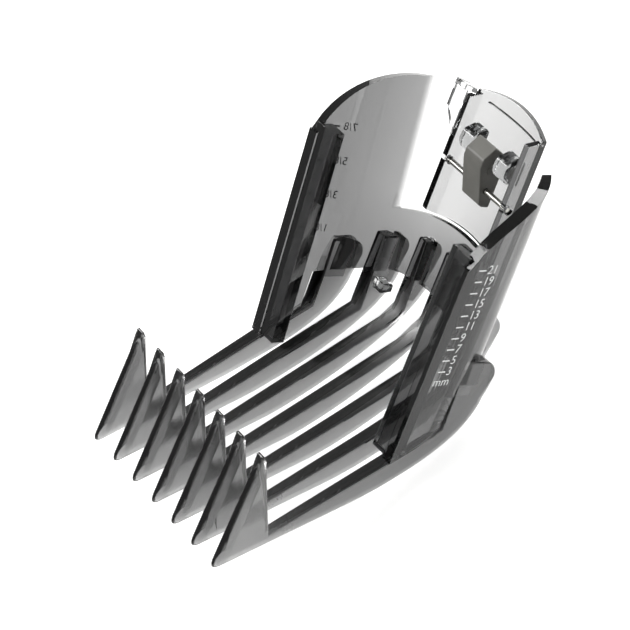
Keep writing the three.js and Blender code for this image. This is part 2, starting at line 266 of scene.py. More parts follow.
def place(made, body, stands_for, material, frame_matrix=None):
    """Moves a finished piece from its own frame to the world and ties it to its body."""
    made.data.transform(sleeve_to_world() @ (frame_matrix or Matrix.Identity(4)))
    # Curves are finer here than in the solids, and would pass their box by up to 0.02 mm.
    for vert in made.data.vertices:
        vert.co = [min(max(value, low), high) for value, low, high in zip(vert.co, *CAD_BOX)]
    made.data.materials.clear()
    made.data.materials.append(material)
    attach(made, body)
    if stands_for:
        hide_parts(*stands_for)
    return made


def bezier(p0, p1, p2, p3, steps):
    """Points along a cubic curve, without its first."""
    out = []
    for k in range(1, steps + 1):
        t = k / steps
        u = 1 - t
        out.append(tuple(u**3 * a + 3 * u * u * t * b + 3 * u * t * t * c + t**3 * d
                         for a, b, c, d in zip(p0, p1, p2, p3)))
    return out


def across(name, outline, low, high):
    """A side outline of (y, z) points made solid from x = low to x = high."""
    count = len(outline)
    verts = [(low, y, z) for y, z in outline] + [(high, y, z) for y, z in outline]
    faces = [list(range(count))[::-1], list(range(count, 2 * count))]
    faces += [(k, (k + 1) % count, count + (k + 1) % count, count + k) for k in range(count)]
    return face_outwards(mesh_object(name, verts, faces))


def stack(name, rings):
    """A closed body through a stack of rings with the same number of points."""
    size = len(rings[0])
    verts = [point for ring in rings for point in ring]
    faces = [list(range(size))[::-1], list(range(len(verts) - size, len(verts)))]
    for level in range(len(rings) - 1):
        for k in range(size):
            a, b = level * size + k, level * size + (k + 1) % size
            faces.append((a, b, b + size, a + size))
    return face_outwards(mesh_object(name, verts, faces))


def turned(name, places, radii, centre, turn=24):
    """A round body along x through the given places and radii."""
    angles = [2 * math.pi * k / turn for k in range(turn)]
    return stack(name, [
        [(x, centre.y + r * math.cos(angle), centre.z + r * math.sin(angle)) for angle in angles]
        for x, r in zip(places, radii)
    ])


# ---- materials ------------------------------------------------------------------------------------------
def new_material(name):
    """A material with a Principled shader on its output."""
    made = bpy.data.materials.new(name)
    made.use_nodes = True
    return made, made.node_tree.nodes["Principled BSDF"]


def add(material, kind, settings=None, links=None):
    """Adds a node: settings name its properties or input sockets, links join its inputs to other outputs."""
    node = material.node_tree.nodes.new(kind)
    for key, value in (settings or {}).items():
        if key in node.inputs:
            node.inputs[key].default_value = value
        else:
            setattr(node, key, value)
    for key, source in (links or {}).items():
        material.node_tree.links.new(source, node.inputs[key])
    return node


def object_space(material):
    return add(material, "ShaderNodeTexCoord").outputs["Object"]


def noise(material, scale, detail, space):
    """A noise whose cells are about 1 / scale metres across."""
    node = add(material, "ShaderNodeTexNoise", {"Scale": scale, "Detail": detail}, {"Vector": space})
    return node.outputs["Fac"]


def bump(material, strength, distance, height):
    settings = {"Strength": strength, "Distance": distance}
    return add(material, "ShaderNodeBump", settings, {"Height": height}).outputs["Normal"]


def mottle(material, factor, dark, light):
    """A colour that wanders between two linear ones."""
    shade = add(material, "ShaderNodeMix", {"data_type": "RGBA"}, {"Factor": factor})
    shade.inputs["A"].default_value = (*dark, 1)
    shade.inputs["B"].default_value = (*light, 1)
    return shade.outputs["Result"]


def set_shader(shader, **values):
    """Constant values on the shader's own sockets, with _ for each space of a socket's name."""
    for key, value in values.items():
        shader.inputs[key.replace("_", " ")].default_value = value


def polycarbonate(name, tint, density, haze, frost=0.0):
    """Injection-moulded transparent polycarbonate: glassy faces, and a tint that deepens along the sheet, so
    that thin walls look pale and cut edges look nearly black. The faces marked as frosted come from the
    mould's sand-blasted parts, and blur what is seen through them."""
    material, shader = new_material(name)
    set_shader(shader, Base_Color=(1, 1, 1, 1), IOR=1.585, Transmission_Weight=1.0)
    space = object_space(material)
    # Flow from the mould's gate leaves a faint unevenness about 4 mm across, and handling leaves fine wear.
    flow = noise(material, 240.0, 2.0, space)
    wear = noise(material, 1400.0, 4.0, space)
    gloss = add(material, "ShaderNodeMapRange",
                {"From Min": 0.35, "From Max": 0.75, "To Min": haze, "To Max": haze * 2.4}, {"Value": wear})
    matt = add(material, "ShaderNodeAttribute", {"attribute_name": "frost"}).outputs["Fac"]
    rough = add(material, "ShaderNodeMath", {"operation": "MULTIPLY_ADD"})
    link = material.node_tree.links.new
    link(matt, rough.inputs[0])
    rough.inputs[1].default_value = frost
    link(gloss.outputs["Result"], rough.inputs[2])
    link(rough.outputs["Value"], shader.inputs["Roughness"])
    if frost:
        # A blasted face scatters part of the light back before it enters the plastic.
        enters = add(material, "ShaderNodeMapRange", {"To Min": 1.0, "To Max": 0.62}, {"Value": matt})
        link(enters.outputs["Result"], shader.inputs["Transmission Weight"])
    link(bump(material, 0.06, 0.0002, flow), shader.inputs["Normal"])
    depth = add(material, "ShaderNodeVolumeAbsorption", {"Color": (*tint, 1), "Density": density})
    link(depth.outputs["Volume"], material.node_tree.nodes["Material Output"].inputs["Volume"])
    return material


def once(name, make):
    """A material made the first time that it is asked for."""
    return bpy.data.materials.get(name) or make(name)


def smoky_polycarbonate():
    # A wall 1.2 mm thick lets more than half of the light through.
    return once("Smoky polycarbonate", lambda name: polycarbonate(name, colours().smoke, 760.0, 0.03, 0.3))


def light_smoky_polycarbonate():
    # The selector's plate holds about half as much smoke.
    return once("Light smoky polycarbonate", lambda name: polycarbonate(name, colours().smoke, 500.0, 0.03))


def clear_polycarbonate():
    # The ear, pads and lugs look nearly colourless.
    return once("Clear polycarbonate", lambda name: polycarbonate(name, colours().clear, 110.0, 0.03))


def moulded_abs(name):
    """Mid-grey ABS from a spark-eroded mould: soft sheen over a fine, even grain."""
    material, shader = new_material(name)
    set_shader(shader, IOR=1.54, Roughness=0.46)
    space = object_space(material)
    # The grain is about 0.1 mm, drawn at 0.25 mm so that it shows.
    grain = noise(material, 4000.0, 3.0, space)
    cloud = noise(material, 400.0, 3.0, space)
    base = colours().latch
    shade = mottle(material, cloud, [c * 0.8 for c in base], [min(1, c * 1.2) for c in base])
    normal = bump(material, 0.25, 0.00004, grain)
    material.node_tree.links.new(shade, shader.inputs["Base Color"])
    material.node_tree.links.new(normal, shader.inputs["Normal"])
    return material


def drawn_steel(name):
    """Drawn spring-steel wire: bright metal with fine lines along its length."""
    material, shader = new_material(name)
    set_shader(shader, Base_Color=(*colours().steel, 1), Metallic=1.0)
    # Lines 0.25 mm apart, coarser than on real wire so that they show, and some 17 mm long.
    space = object_space(material)
    stretch = add(material, "ShaderNodeMapping", {"Scale": (60.0, 4000.0, 4000.0)}, {"Vector": space})
    lines = noise(material, 1.0, 3.0, stretch.outputs["Vector"])
    gloss = add(material, "ShaderNodeMapRange", {"To Min": 0.16, "To Max": 0.38}, {"Value": lines})
    material.node_tree.links.new(gloss.outputs["Result"], shader.inputs["Roughness"])
    return material


def pad_print_ink(name, tint):
    """Pad-printed ink: a thin matt film, a little uneven in cover."""
    material, shader = new_material(name)
    set_shader(shader, Roughness=0.55, IOR=1.5)
    cover = noise(material, 3000.0, 2.0, object_space(material))
    shade = mottle(material, cover, [c * 0.82 for c in tint], tint)
    material.node_tree.links.new(shade, shader.inputs["Base Color"])
    return material


# ---- the comb moulding ----------------------------------------------------------------------------------
THINNING = {"start": 14, "length": 17}  # part of the height over which the back wall thins
WINDOW_HEIGHT = 24  # from the sill's ends to where the window is at its widest


def half_width_at(z):
    return mm(sizes().half_width) + FLARE * z


def back_wall_at(z):
    s = sizes()
    return mix(mm(s.foot_wall), mm(s.back_wall), clamp01((z - THINNING["start"]) / THINNING["length"]))


def wall_point(angle, z, inner):
    """A point of the sleeve's outside, or of its inside, at an angle from +X round the back."""
    s = sizes()
    wide = half_width_at(z) - (mm(s.side_wall) if inner else 0)
    deep = mm(s.depth) - (back_wall_at(z) if inner else 0)
    power = 2 / SQUARENESS
    c, d = math.cos(angle), math.sin(angle)
    return Vector((math.copysign(abs(c) ** power, c) * wide, abs(d) ** power * deep, z))


# (y, z) along the sleeve's lower edge, from the front to the middle of the back. Its second and third points
# are the foot and the head of a step. The top edge is one curve, from the window to the straight front edge.
RIM = ((0, 0), (8.65, 5.55), (9.0, 12.5), (14, 13.8), (17, 15.3), (20, 17.9), (21.6, 18.9))
TOP_EDGE = ((21.8, 54.2), (10, 50.2), (2.4, 44.8), (0.6, 38.7))


def on_polyline(points, y):
    """Height of a line of (y, z) points at a depth."""
    for (y0, z0), (y1, z1) in zip(points, points[1:]):
        if y <= y1:
            return mix(z0, z1, (y - y0) / (y1 - y0))
    return points[-1][1]


def top_edge_at(y):
    curve = [TOP_EDGE[0], *bezier(*TOP_EDGE, 40)][::-1]
    return mm(sizes().front_edge) if y < curve[0][0] else on_polyline(curve, y)


def window_edge(z, inner):
    """The angle of the window's edge at a height."""
    s = sizes()
    x = mix(mm(s.window_foot), mm(s.window_top), clamp01((z - mm(s.sill_side)) / WINDOW_HEIGHT))
    wide = half_width_at(z) - (mm(s.side_wall) if inner else 0)
    return math.acos(min(1, x / wide) ** (SQUARENESS / 2))


def sill_at(x):
    """Height of the window's sill."""
    s = sizes()
    return mix(mm(s.sill_middle), mm(s.sill_side), min(1, (x / mm(s.window_foot)) ** 2))


def make_sleeve():
    """The three-sided sleeve. Columns run round it and rows up it; the wings stand beside the window."""
    s = sizes()
    deep = mm(s.depth)

    def share(y, z):
        """How far round the wing a point of its outside is, from 0 at the front to 1 at the window."""
        return math.asin((y / deep) ** (SQUARENESS / 2)) / window_edge(z, False)

    # Two columns stand on the rim's step, and the even ones that come too near them are left out.
    spaces, hem, nearest = 22, 0.008, 0.012
    kink = [share(*RIM[1]), share(*RIM[2])]
    wing = sorted({0.0, hem, *[k / spaces for k in range(1, spaces + 1)], *kink})
    wing = [t for t in wing if t in kink or t in (0.0, 1.0) or all(abs(t - k) > nearest for k in kink)]
    middle, low_rows, high_rows = 36, 9, 14
    passes = 6  # the depth of a point depends a little on its height, so heights are found in turns
    verts, faces = [], []

    def column(angle_of, rim, bound, top):
        ids = []
        rows = [mix(rim, bound, k / low_rows) for k in range(low_rows + 1)]
        if top is not None:
            rows += [mix(bound, top, k / high_rows) for k in range(1, high_rows + 1)]
        for z in rows:
            for inner in (False, True):
                verts.append(wall_point(angle_of(z, inner), z, inner))
            ids.append(len(verts) - 2)
        return ids

    def wing_column(t, mirrored):
        def angle_of(z, inner):
            angle = t * window_edge(z, inner)
            return math.pi - angle if mirrored else angle

        rim, top = 5.0, 40.0
        for _ in range(passes):
            rim = on_polyline(RIM, wall_point(t * window_edge(rim, False), rim, False).y)
        for _ in range(passes):
            top = top_edge_at(wall_point(t * window_edge(top, False), top, False).y)
        return column(angle_of, rim, mm(s.sill_side), top)

    def middle_column(t):
        def angle_of(z, inner):
            edge = window_edge(z, inner)
            return mix(edge, math.pi - edge, t)

        near_sill = 28
        at = wall_point(angle_of(near_sill, False), near_sill, False)
        return column(angle_of, on_polyline(RIM, at.y), sill_at(at.x), None)

    columns = [wing_column(t, False) for t in wing]
    columns += [middle_column(k / middle) for k in range(1, middle)]
    columns += [wing_column(t, True) for t in reversed(wing)]
    for left, right in zip(columns, columns[1:]):
        rows = min(len(left), len(right))
        for k in range(rows - 1):
            a, b, c, d = left[k], right[k], right[k + 1], left[k + 1]
            faces.append((a, d, c, b))
            faces.append((a + 1, b + 1, c + 1, d + 1))
    made = mesh_object("sleeve", verts, faces)
    shape = bmesh.new()
    shape.from_mesh(made.data)
    # Close the rim: join each open edge of the outside to the same edge of the inside.
    shape.verts.ensure_lookup_table()
    for edge in [e for e in shape.edges if e.is_boundary]:
        a, b = (v.index for v in edge.verts)
        if a % 2 == 0 and b % 2 == 0:
            shape.faces.new([shape.verts[i] for i in (a, b, b + 1, a + 1)])
    bmesh.ops.recalc_face_normals(shape, faces=shape.faces)
    shape.to_mesh(made.data)
    shape.free()
    bevel(made, mm(s.edge_round), 2, angle=50)
    return made


RAIL = {"reach": 6.0, "front": 0.3, "back": 3.0, "foot": 0.35, "top": 40.5, "round": 0.2}


def make_rail(side):
    """The lip that turns inwards from a side wall's front edge."""
    rings = []
    for z in (RAIL["foot"], RAIL["top"]):
        inner, wall = half_width_at(z) - RAIL["reach"], half_width_at(z) - mm(sizes().side_wall) / 2
        rings.append([(side * x, y, z) for x, y in (
            (inner, RAIL["front"]), (wall, RAIL["front"]), (wall, RAIL["back"]), (inner, RAIL["back"]))])
    made = stack("rail", rings)
    bevel(made, RAIL["round"], 2)
    return made


# The teeth, the working edge and the fins, as (y, z) or y or z. The fins' backs follow the sleeve's section.
TOOTH = {"tip": (-28.2, -20.05), "peak": (-25.3, 2.3), "foot": -19.4}
FRONT_STEPS, TIP_STEPS, SKIN_STEPS, HEEL_STEPS = 12, 8, 16, 26
FIN = {"reach": 22.6, "spread": 25.5, "top": 27.3, "droop": 0.0193, "heel": -2.65}
THIN_FROM, THIN_OVER, THIN_SHARE = 12, 15.3, 0.66  # the fins thin towards their tops
SKIN_END = (-4, -8.25)  # end of the ribs' straight working edge
TOP_SLOPE = 0.69  # rise of a rib's upper edge for each millimetre back
ROOT_FACE = (17.6, 17.0, 13.5, 8.9)  # front face of the root, from the middle rib outwards


def line(start, end, steps):
    """Points along a straight line, without its first."""
    return [tuple(mix(a, b, k / steps) for a, b in zip(start, end)) for k in range(1, steps + 1)]


def rib_outline(place_off):
    """Side outline of a rib, clockwise from its peak down the front, and how many points glide on the skin."""
    x = abs(place_off) * mm(sizes().root_pitch)
    back = FIN["reach"] * (1 - (x / FIN["spread"]) ** SQUARENESS) ** (1 / SQUARENESS)
    top = FIN["top"] - FIN["droop"] * x * x
    face = ROOT_FACE[abs(place_off)]
    (tip_y, tip_z), (peak_y, peak_z), foot = TOOTH["tip"], TOOTH["peak"], TOOTH["foot"]
    points = [(peak_y - 0.75, peak_z - 1.5)]
    points += line(points[-1], (tip_y, tip_z + 1.6), FRONT_STEPS)
    tip_bend = (tip_y - 0.15, tip_z + 0.2), (tip_y + 0.35, tip_z - 0.45), (tip_y + 1.6, tip_z + 0.16)
    points += bezier(points[-1], *tip_bend, TIP_STEPS)
    points += line(points[-1], SKIN_END, SKIN_STEPS)
    points += bezier(points[-1], (6, FIN["heel"]), (back, top - 15), (back, top - 6), HEEL_STEPS)
    points += line(points[-1], (back, top - 2.7), 3)
    glide = len(points)
    points += bezier(points[-1], (back, top - 1.2), (back - 1.2, top), (back - 2.7, top), 7)
    points += line(points[-1], (face + 0.9, top), 3)
    points += bezier(points[-1], (face + 0.3, top), (face + 0.3, top), (face + 0.3, top - 0.6), 3)
    points += [(face, face * TOP_SLOPE)]
    points += line(points[-1], (foot, foot * TOP_SLOPE), 12)
    points += line(points[-1], (peak_y + 0.5, peak_z - 1.5), 5)
    points += bezier(points[-1], (peak_y, peak_z - 0.1), (peak_y - 0.5, peak_z + 0.1), points[0], 7)[:-1]
    return points, glide


def inset(points, depths):
    """Each point of a clockwise outline moved in by its depth; where that would fold the outline at a sharp
    tip, the points share the place where the two inner edges meet."""
    moved = []
    for k, (y, z) in enumerate(points):
        before, after = Vector(points[k - 1]), Vector(points[(k + 1) % len(points)])
        here = Vector((y, z))
        a, b = (here - before).normalized(), (after - here).normalized()
        normal = (Vector((-a.y, a.x)) + Vector((-b.y, b.x))).normalized()
        moved.append(here + normal * depths[k] / max(0.5, normal.dot(Vector((-a.y, a.x)))))
    return moved


def make_rib(place_off):
    """One rib: tooth, arm and the fin up the outside of the back wall. Its gliding edge is fully rounded, and
    its other edges only a little."""
    s = sizes()
    outline, glide = rib_outline(place_off)
    small, half = mm(s.edge_round), 1.0
    count = len(outline)
    # How much of the full rounding each point has. It fades in from the peak, and out at the fin's top.
    full = [clamp01(min(0.5 + 0.25 * k, (glide - 1 - k) / 4)) if k < glide else 0.0 for k in range(count)]
    for k in range(1, 7):
        full[-k] = 0.5 - k / 14
    depths = [mix(small, mm(s.glide_depth), t) for t in full]
    inner = inset(outline, depths)
    # The tip is sharper than the rounding is deep, so its inner points meet in one place.
    front = 1 + FRONT_STEPS
    skin = front + TIP_STEPS
    edge_front, edge_skin = inner[2], inner[skin + 6]
    along_front = (Vector(outline[front - 1]) - Vector(outline[0])).normalized()
    along_skin = (Vector(outline[skin + SKIN_STEPS - 1]) - Vector(outline[skin])).normalized()
    gap = edge_skin - edge_front
    cross = along_front.x * along_skin.y - along_front.y * along_skin.x
    meet = edge_front + along_front * (gap.x * along_skin.y - gap.y * along_skin.x) / cross
    for k in range(4, skin + 12):
        beyond = inner[k] - meet
        if beyond.dot(along_front) > 0 if k < front + TIP_STEPS // 2 else beyond.dot(along_skin) < 0:
            inner[k] = meet
    steps = (0.0, 0.03, 0.11, 0.25, 0.45, 0.7, 0.93, 1.0)
    verts, faces = [], []
    for side in (-1, 1):
        for step in steps:
            # The rounding meets the flat side at a slight angle, which leaves a fine line along the rib.
            rounded = 1 - mix(step, math.sqrt(1 - (1 - step) ** 2), 0.72)
            for k in range(count):
                point = Vector(outline[k]).lerp(inner[k], step)
                shrink = mix(small / 1.3, half, full[k]) * rounded
                verts.append((side * (half - shrink), point.x, point.y))
    rows = len(steps)
    for side in range(2):
        for row in range(rows - 1):
            for k in range(count):
                base = (side * rows + row) * count
                a, b = base + k, base + (k + 1) % count
                faces.append((a, b, b + count, a + count))
        faces.append([(side * rows + rows - 1) * count + k for k in range(count)])
    for k in range(count):
        a, b = k, (k + 1) % count
        faces.append((a, b, b + rows * count, a + rows * count))
    made = mesh_object("rib", verts, faces)
    shape = bmesh.new()
    shape.from_mesh(made.data)
    bmesh.ops.remove_doubles(shape, verts=shape.verts, dist=0.0005)
    bmesh.ops.dissolve_degenerate(shape, dist=0.0001, edges=shape.edges)
    # Slices along the arm and up the fin let the flat sides follow the changes of width below.
    for k in range(19):
        slice_at(shape, Vector((0, 1, 0)), -27 + 2.7 * k)
    for k in range(6):
        slice_at(shape, Vector((0, 0, 1)), 12 + 3.0 * k)
    bmesh.ops.recalc_face_normals(shape, faces=shape.faces)
    shape.to_mesh(made.data)
    shape.free()
    for vert in made.data.vertices:
        y, z = vert.co.y, vert.co.z
        pitch = mix(mm(s.tooth_pitch), mm(s.root_pitch), clamp01(1 - y / TOOTH["tip"][0]))
        along_arm = clamp01((y - TOOTH["foot"]) / (ROOT_FACE[0] - TOOTH["foot"]))
        along = mix(mm(s.tooth_width), mm(s.rib_width), along_arm)
        wide = along * mix(1, THIN_SHARE, clamp01((z - THIN_FROM) / THIN_OVER))
        vert.co.x = place_off * pitch + vert.co.x * wide / (2 * half)
    return made


def frost_of(face):
    """How frosted a face is: the sides and gliding edges of the ribs outside the sleeve are, most of all along
    the arms, and the sleeve, the ribs' upper edges and the teeth's fronts are polished."""
    point, normal = face.center, face.normal
    oval = (abs(point.x) / half_width_at(point.z)) ** SQUARENESS
    oval += (max(0, point.y) / mm(sizes().depth)) ** SQUARENESS
    in_sleeve = point.y > -0.1 and point.z > on_polyline(RIM, point.y) - 0.3 and oval < 1.02
    if in_sleeve or normal.z > 0.5 or normal.y < -0.45:
        return 0.0
    if point.x * normal.x > 19:
        return 0.35  # the outermost sides
    return mix(0.3, 1.0, clamp01((point.y - TOOTH["foot"] + 1) / 8))


LUG = {"outline": ((13.82, 14.2), (16.46, 14.5), (16.46, 16.0), (13.82, 16.5)), "half": 1.4, "chamfer": 0.3}


def make_lug(side):
    """A clear lug on the rim, midway between two ribs."""
    x = side * 1.5 * mm(sizes().root_pitch)
    made = across("lug", LUG["outline"], x - LUG["half"], x + LUG["half"])
    bevel(made, LUG["chamfer"], 1)
    return made


COMB_NODES = ["sleeve_shell", "guide_rail_left", "guide_rail_right"]
COMB_NODES += [f"comb_rib_{n}" for n in range(1, 8)]


class GUIDECOMB_OT_comb(bpy.types.Operator):
    """Sleeve, rails, lugs and seven ribs, as the one clear moulding that they are"""

    bl_idname = "guidecomb.comb"
    bl_label = "Comb moulding"

    def execute(self, context):
        others = [make_rib(n - 3) for n in range(7)]
        others += [make_rail(side) for side in (-1, 1)]
        made = unite("comb_moulding", make_sleeve(), others)
        tidy(made, flat_sides=True)
        frost = made.data.attributes.new("frost", "FLOAT", "FACE")
        for face in made.data.polygons:
            frost.data[face.index].value = frost_of(face)
        for side, word in ((-1, "left"), (1, "right")):
            lug = make_lug(side)
            tidy(lug)
            place(lug, "comb", [f"rim_lug_{word}"], clear_polycarbonate())
        place(made, "comb", COMB_NODES, smoky_polycarbonate())
        return {"FINISHED"}


# ---- the length selector --------------------------------------------------------------------------------
ARM = {"half": 9.5, "height": 25.2, "shoulder": 23.4, "plate": 1.2, "bend": 36, "flange": 1.4, "front": -3.65}
GROOVE = {"half": 7, "depth": 0.6, "low": 21.75, "high": 22.45, "closing": 0.8}
CHEEK = {"near": 3.1, "far": 7.0, "chamfer": 0.45}
PIN = {"half": 9.1, "radius": 0.55, "chamfer": 0.15, "eye": 0.6, "flange_eye": 0.8}


def bend_at(x):
    """How far the bent plate has dropped forward at a place across it."""
    return -x * x / (2 * ARM["bend"])


def arm_top_at(x):
    return mix(ARM["height"], ARM["shoulder"], (x / ARM["half"]) ** 2)


def bent_plate(name, half, inner, outer, foot_at, top_at, steps=30, rows=12):
    """A strip of the arm's bent plate; y is measured from its inner face."""
    verts, faces = [], []
    for k in range(steps + 1):
        x = mix(-half, half, k / steps)
        for j in range(rows + 1):
            z = mix(foot_at(x), top_at(x), j / rows)
            verts += [(x, bend_at(x) + inner, z), (x, bend_at(x) + outer, z)]
    size = 2 * (rows + 1)
    for k in range(steps):
        for j in range(rows):
            a, b = k * size + 2 * j, (k + 1) * size + 2 * j
            faces += [(a, b, b + 2, a + 2), (a + 1, a + 3, b + 3, b + 1)]
        a, b = k * size, (k + 1) * size
        faces += [(a, a + 1, b + 1, b), (a + size - 2, b + size - 2, b + size - 1, a + size - 1)]
    for base in (0, steps * size):
        for j in range(rows):
            a = base + 2 * j
            faces.append((a, a + 2, a + 3, a + 1))
    return face_outwards(mesh_object(name, verts, faces))


def make_flange(side):
    """A wall along a side of the arm, which holds an end of the pin."""
    edge = bend_at(ARM["half"]) + 0.5
    foot = sill_at(ARM["half"]) - ARM_FOOT.z + 0.7
    outer = side * ARM["half"]
    inner = outer - side * ARM["flange"]
    top = ARM["shoulder"] - 0.3
    outline = [(edge, foot), (edge, top), (ARM["front"], top - 0.8), (ARM["front"], foot + 0.8)]
    made = across("flange", outline, min(inner, outer), max(inner, outer))
    bevel(made, 0.25, 2)
    return made


def make_ear():
    """The hook ear, with a tab turned in across its upper end."""
    front = ARM["front"] - 0.3
    outline = [(front, 14.4), (front - 0.5, 16), (front - 3, 20.2), (front - 3, 25.4), (front, 24.6)]
    made = across("ear", outline, -ARM["half"], -ARM["half"] + 0.9)
    bevel(made, 0.2, 2)
    tab = across("tab", [(front - 2.98, 24.3), (front - 2.98, 25.38), (front, 24.58), (front, 23.5)],
                 -ARM["half"] + 0.02, -ARM["half"] + 3)
    bevel(tab, 0.3, 3)
    return unite("ear_moulding", made, [tab])


def make_cheek(side):
    """A raised pad on the arm's inner face, beside the latch block."""
    edge = bend_at(CHEEK["far"]) - 0.1
    outline = [(edge, 13.6), (edge, 18.5), (edge - 0.9, 18.5),
               (edge - 3.1, 17.2), (edge - 3.3, 15.0), (edge - 2.2, 13.6)]
    low, high = sorted((CHEEK["near"] * side, CHEEK["far"] * side))
    made = across("cheek", outline, low, high)
    bevel(made, CHEEK["chamfer"], 1)
    return made


class GUIDECOMB_OT_selector(bpy.types.Operator):
    """The sprung arm in the window, with its flanges, cheeks and hook ear"""

    bl_idname = "guidecomb.selector"
    bl_label = "Length selector"

    def execute(self, context):
        thick = ARM["plate"]
        plate = bent_plate("arm", ARM["half"], 0, thick, lambda x: sill_at(x) - ARM_FOOT.z + 0.4, arm_top_at)
        bevel(plate, 0.25, 2, angle=50)
        low, high = GROOVE["low"], GROOVE["high"]
        groove = bent_plate("groove", GROOVE["half"], thick - GROOVE["depth"], thick * 1.5,
                            lambda x: low, lambda x: high, rows=1)
        for vert in groove.data.vertices:
            if vert.co.y - bend_at(vert.co.x) < thick:
                # Its inner corners move together, which makes it a V.
                vert.co.z = mix(vert.co.z, (low + high) / 2, GROOVE["closing"])
        cut(plate, groove)
        made = unite("selector_moulding", plate, [make_flange(side) for side in (-1, 1)])
        for side in (-1, 1):
            ends = side * ARM["half"] - 2, side * ARM["half"] + 2
            cut(made, turned("eye", ends, [PIN["flange_eye"]] * 2, PIN_IN_ARM))
        nodes = ["selector_arm", "arm_flange_left", "arm_flange_right"]
        self.finish(made, "light_smoky_polycarbonate", nodes, light_smoky_polycarbonate())
        for side, word in ((-1, "left"), (1, "right")):
            self.finish(make_cheek(side), "clear_polycarbonate", [f"latch_cheek_{word}"], clear_polycarbonate())
        self.finish(make_ear(), "clear_polycarbonate", ["hook_ear"], clear_polycarbonate())
        return {"FINISHED"}

    def finish(self, made, slot, nodes, material):
        """Shades a piece and hangs it on the selector."""
        tidy(made)
        place(made, "selector", nodes, material, arm_to_sleeve())


class GUIDECOMB_OT_latch(bpy.types.Operator):
    """The grey latch block and the steel pin that it rocks on"""

    bl_idname = "guidecomb.latch"
    bl_label = "Latch"

    def execute(self, context):
        outline = [(-0.4, 6.9), (-0.4, 15.4), (-1.6, 17.2), (-3.6, 18.2),
                   (-5.5, 15.8), (-5.5, 14.2), (-2.75, 7.3), (-1.9, 6.9)]
        block = across("latch_block_body", outline, -2.7, 2.55)
        bevel(block, 0.28, 3)
        boss = turned("boss", (2.0, 2.6, 2.7), (0.75, 0.75, 0.6), Vector((0, -3.2, 13.9)))
        block = unite("latch_body", block, [boss])
        cut(block, turned("eye", (-4.0, 4.0), [PIN["eye"]] * 2, PIN_IN_ARM))
        tidy(block)
        abs_plastic = once("Moulded grey ABS", moulded_abs)
        place(block, "latch", ["latch_block"], abs_plastic, arm_to_sleeve())
        end, radius, chamfer = PIN["half"], PIN["radius"], PIN["chamfer"]
        places = -end, chamfer - end, end - chamfer, end
        pin = turned("steel_pin", places, (radius - chamfer, radius, radius, radius - chamfer), PIN_IN_ARM)
        tidy(pin)
        steel = once("Drawn spring steel", drawn_steel)
        place(pin, "selector", ["latch_pin"], steel, arm_to_sleeve())
        return {"FINISHED"}


# ---- printed scales -------------------------------------------------------------------------------------
FILM = 0.016  # thickness of the ink
FILM_GAP = 0.012  # keeps the chords of the flat print outside the curved wall


def wall_x(y, z):
    """How far out the sleeve's side is at a depth and height."""
    return half_width_at(z) * (1 - (y / mm(sizes().depth)) ** SQUARENESS) ** (1 / SQUARENESS)


def on_wall(made, side):
    """Bends a flat print, drawn as (reading direction, up), onto the outside of a side wall. The right wall
    reads towards the back, and the left wall towards the front."""
    for vert in made.data.vertices:
        run, up, lift = vert.co
        run *= side
        vert.co = (side * (wall_x(run, up) + FILM_GAP + lift), run, up)


def print_text(text, height, run, up, align="CENTER"):
    """A word as a thin film, reading along +x, set at (run, up)."""
    font = bpy.data.curves.new("print", "FONT")
    font.body = text
    font.size = height
    font.extrude = FILM / 2
    font.align_x = align
    font.align_y = "CENTER"
    font.resolution_u = 3
    holder = bpy.data.objects.new("print", font)
    bpy.context.scene.collection.objects.link(holder)
    bpy.context.view_layer.update()
    mesh = bpy.data.meshes.new_from_object(holder.evaluated_get(bpy.context.evaluated_depsgraph_get()))
    bpy.data.objects.remove(holder)
    mesh.transform(Matrix.Translation((run, up, FILM / 2)))
    made = bpy.data.objects.new("print", mesh)
    bpy.context.scene.collection.objects.link(made)
    return made


def print_bar(run0, run1, up, thick):
    """A tick as a thin film."""
    t = thick / 2
    corners = [(run0, up - t), (run1, up - t), (run1, up + t), (run0, up + t)]
    return stack("print", [[(a, b, lift) for a, b in corners] for lift in (0, FILM)])


def join(name, pieces):
    """One mesh of several that stay apart."""
    verts, faces = [], []
    for piece in pieces:
        base = len(verts)
        verts += [v.co.copy() for v in piece.data.vertices]
        faces += [[base + i for i in polygon.vertices] for polygon in piece.data.polygons]
        bpy.data.objects.remove(piece)
    return mesh_object(name, verts, faces)


class GUIDECOMB_OT_scales(bpy.types.Operator):
    """The lengths printed on the walls: millimetres in white on the right, inches in dark ink on the left"""

    bl_idname = "guidecomb.scales"
    bl_label = "Printed scales"

    def execute(self, context):
        tick = mm(sizes().tick)
        height = 2.4
        pieces = [print_text("mm", height, 2.2, 16.5, "LEFT")]
        for k in range(10):
            up = 18.6 + k * tick
            pieces.append(print_bar(2.4, 4.0, up, 0.28))
            pieces.append(print_text(str(3 + 2 * k), height, 4.3, up, "LEFT"))
        white = join("scale_millimetres", pieces)
        on_wall(white, 1)
        ink = once("White pad-print ink", lambda name: pad_print_ink(name, colours().white_ink))
        place(white, "comb", [], ink)
        pieces, pitch = [], 6.43
        for k in range(4):
            up = 20.2 + pitch * k
            pieces.append(print_text(f"{2 * k + 1}/8", 2.1, -7.6, up))
            pieces.append(print_bar(-5.5, -4.1, up, 0.3))
        dark = join("scale_inches", pieces)
        on_wall(dark, -1)
        ink = once("Dark pad-print ink", lambda name: pad_print_ink(name, colours().dark_ink))
        place(dark, "comb", [], ink)
        return {"FINISHED"}


# ---- stage ----------------------------------------------------------------------------------------------
CAMERA = {"lens": 219.5, "azimuth": 80.32, "elevation": 46.76, "roll": -32.67, "aim": (-7.015, -0.431, 11.647)}


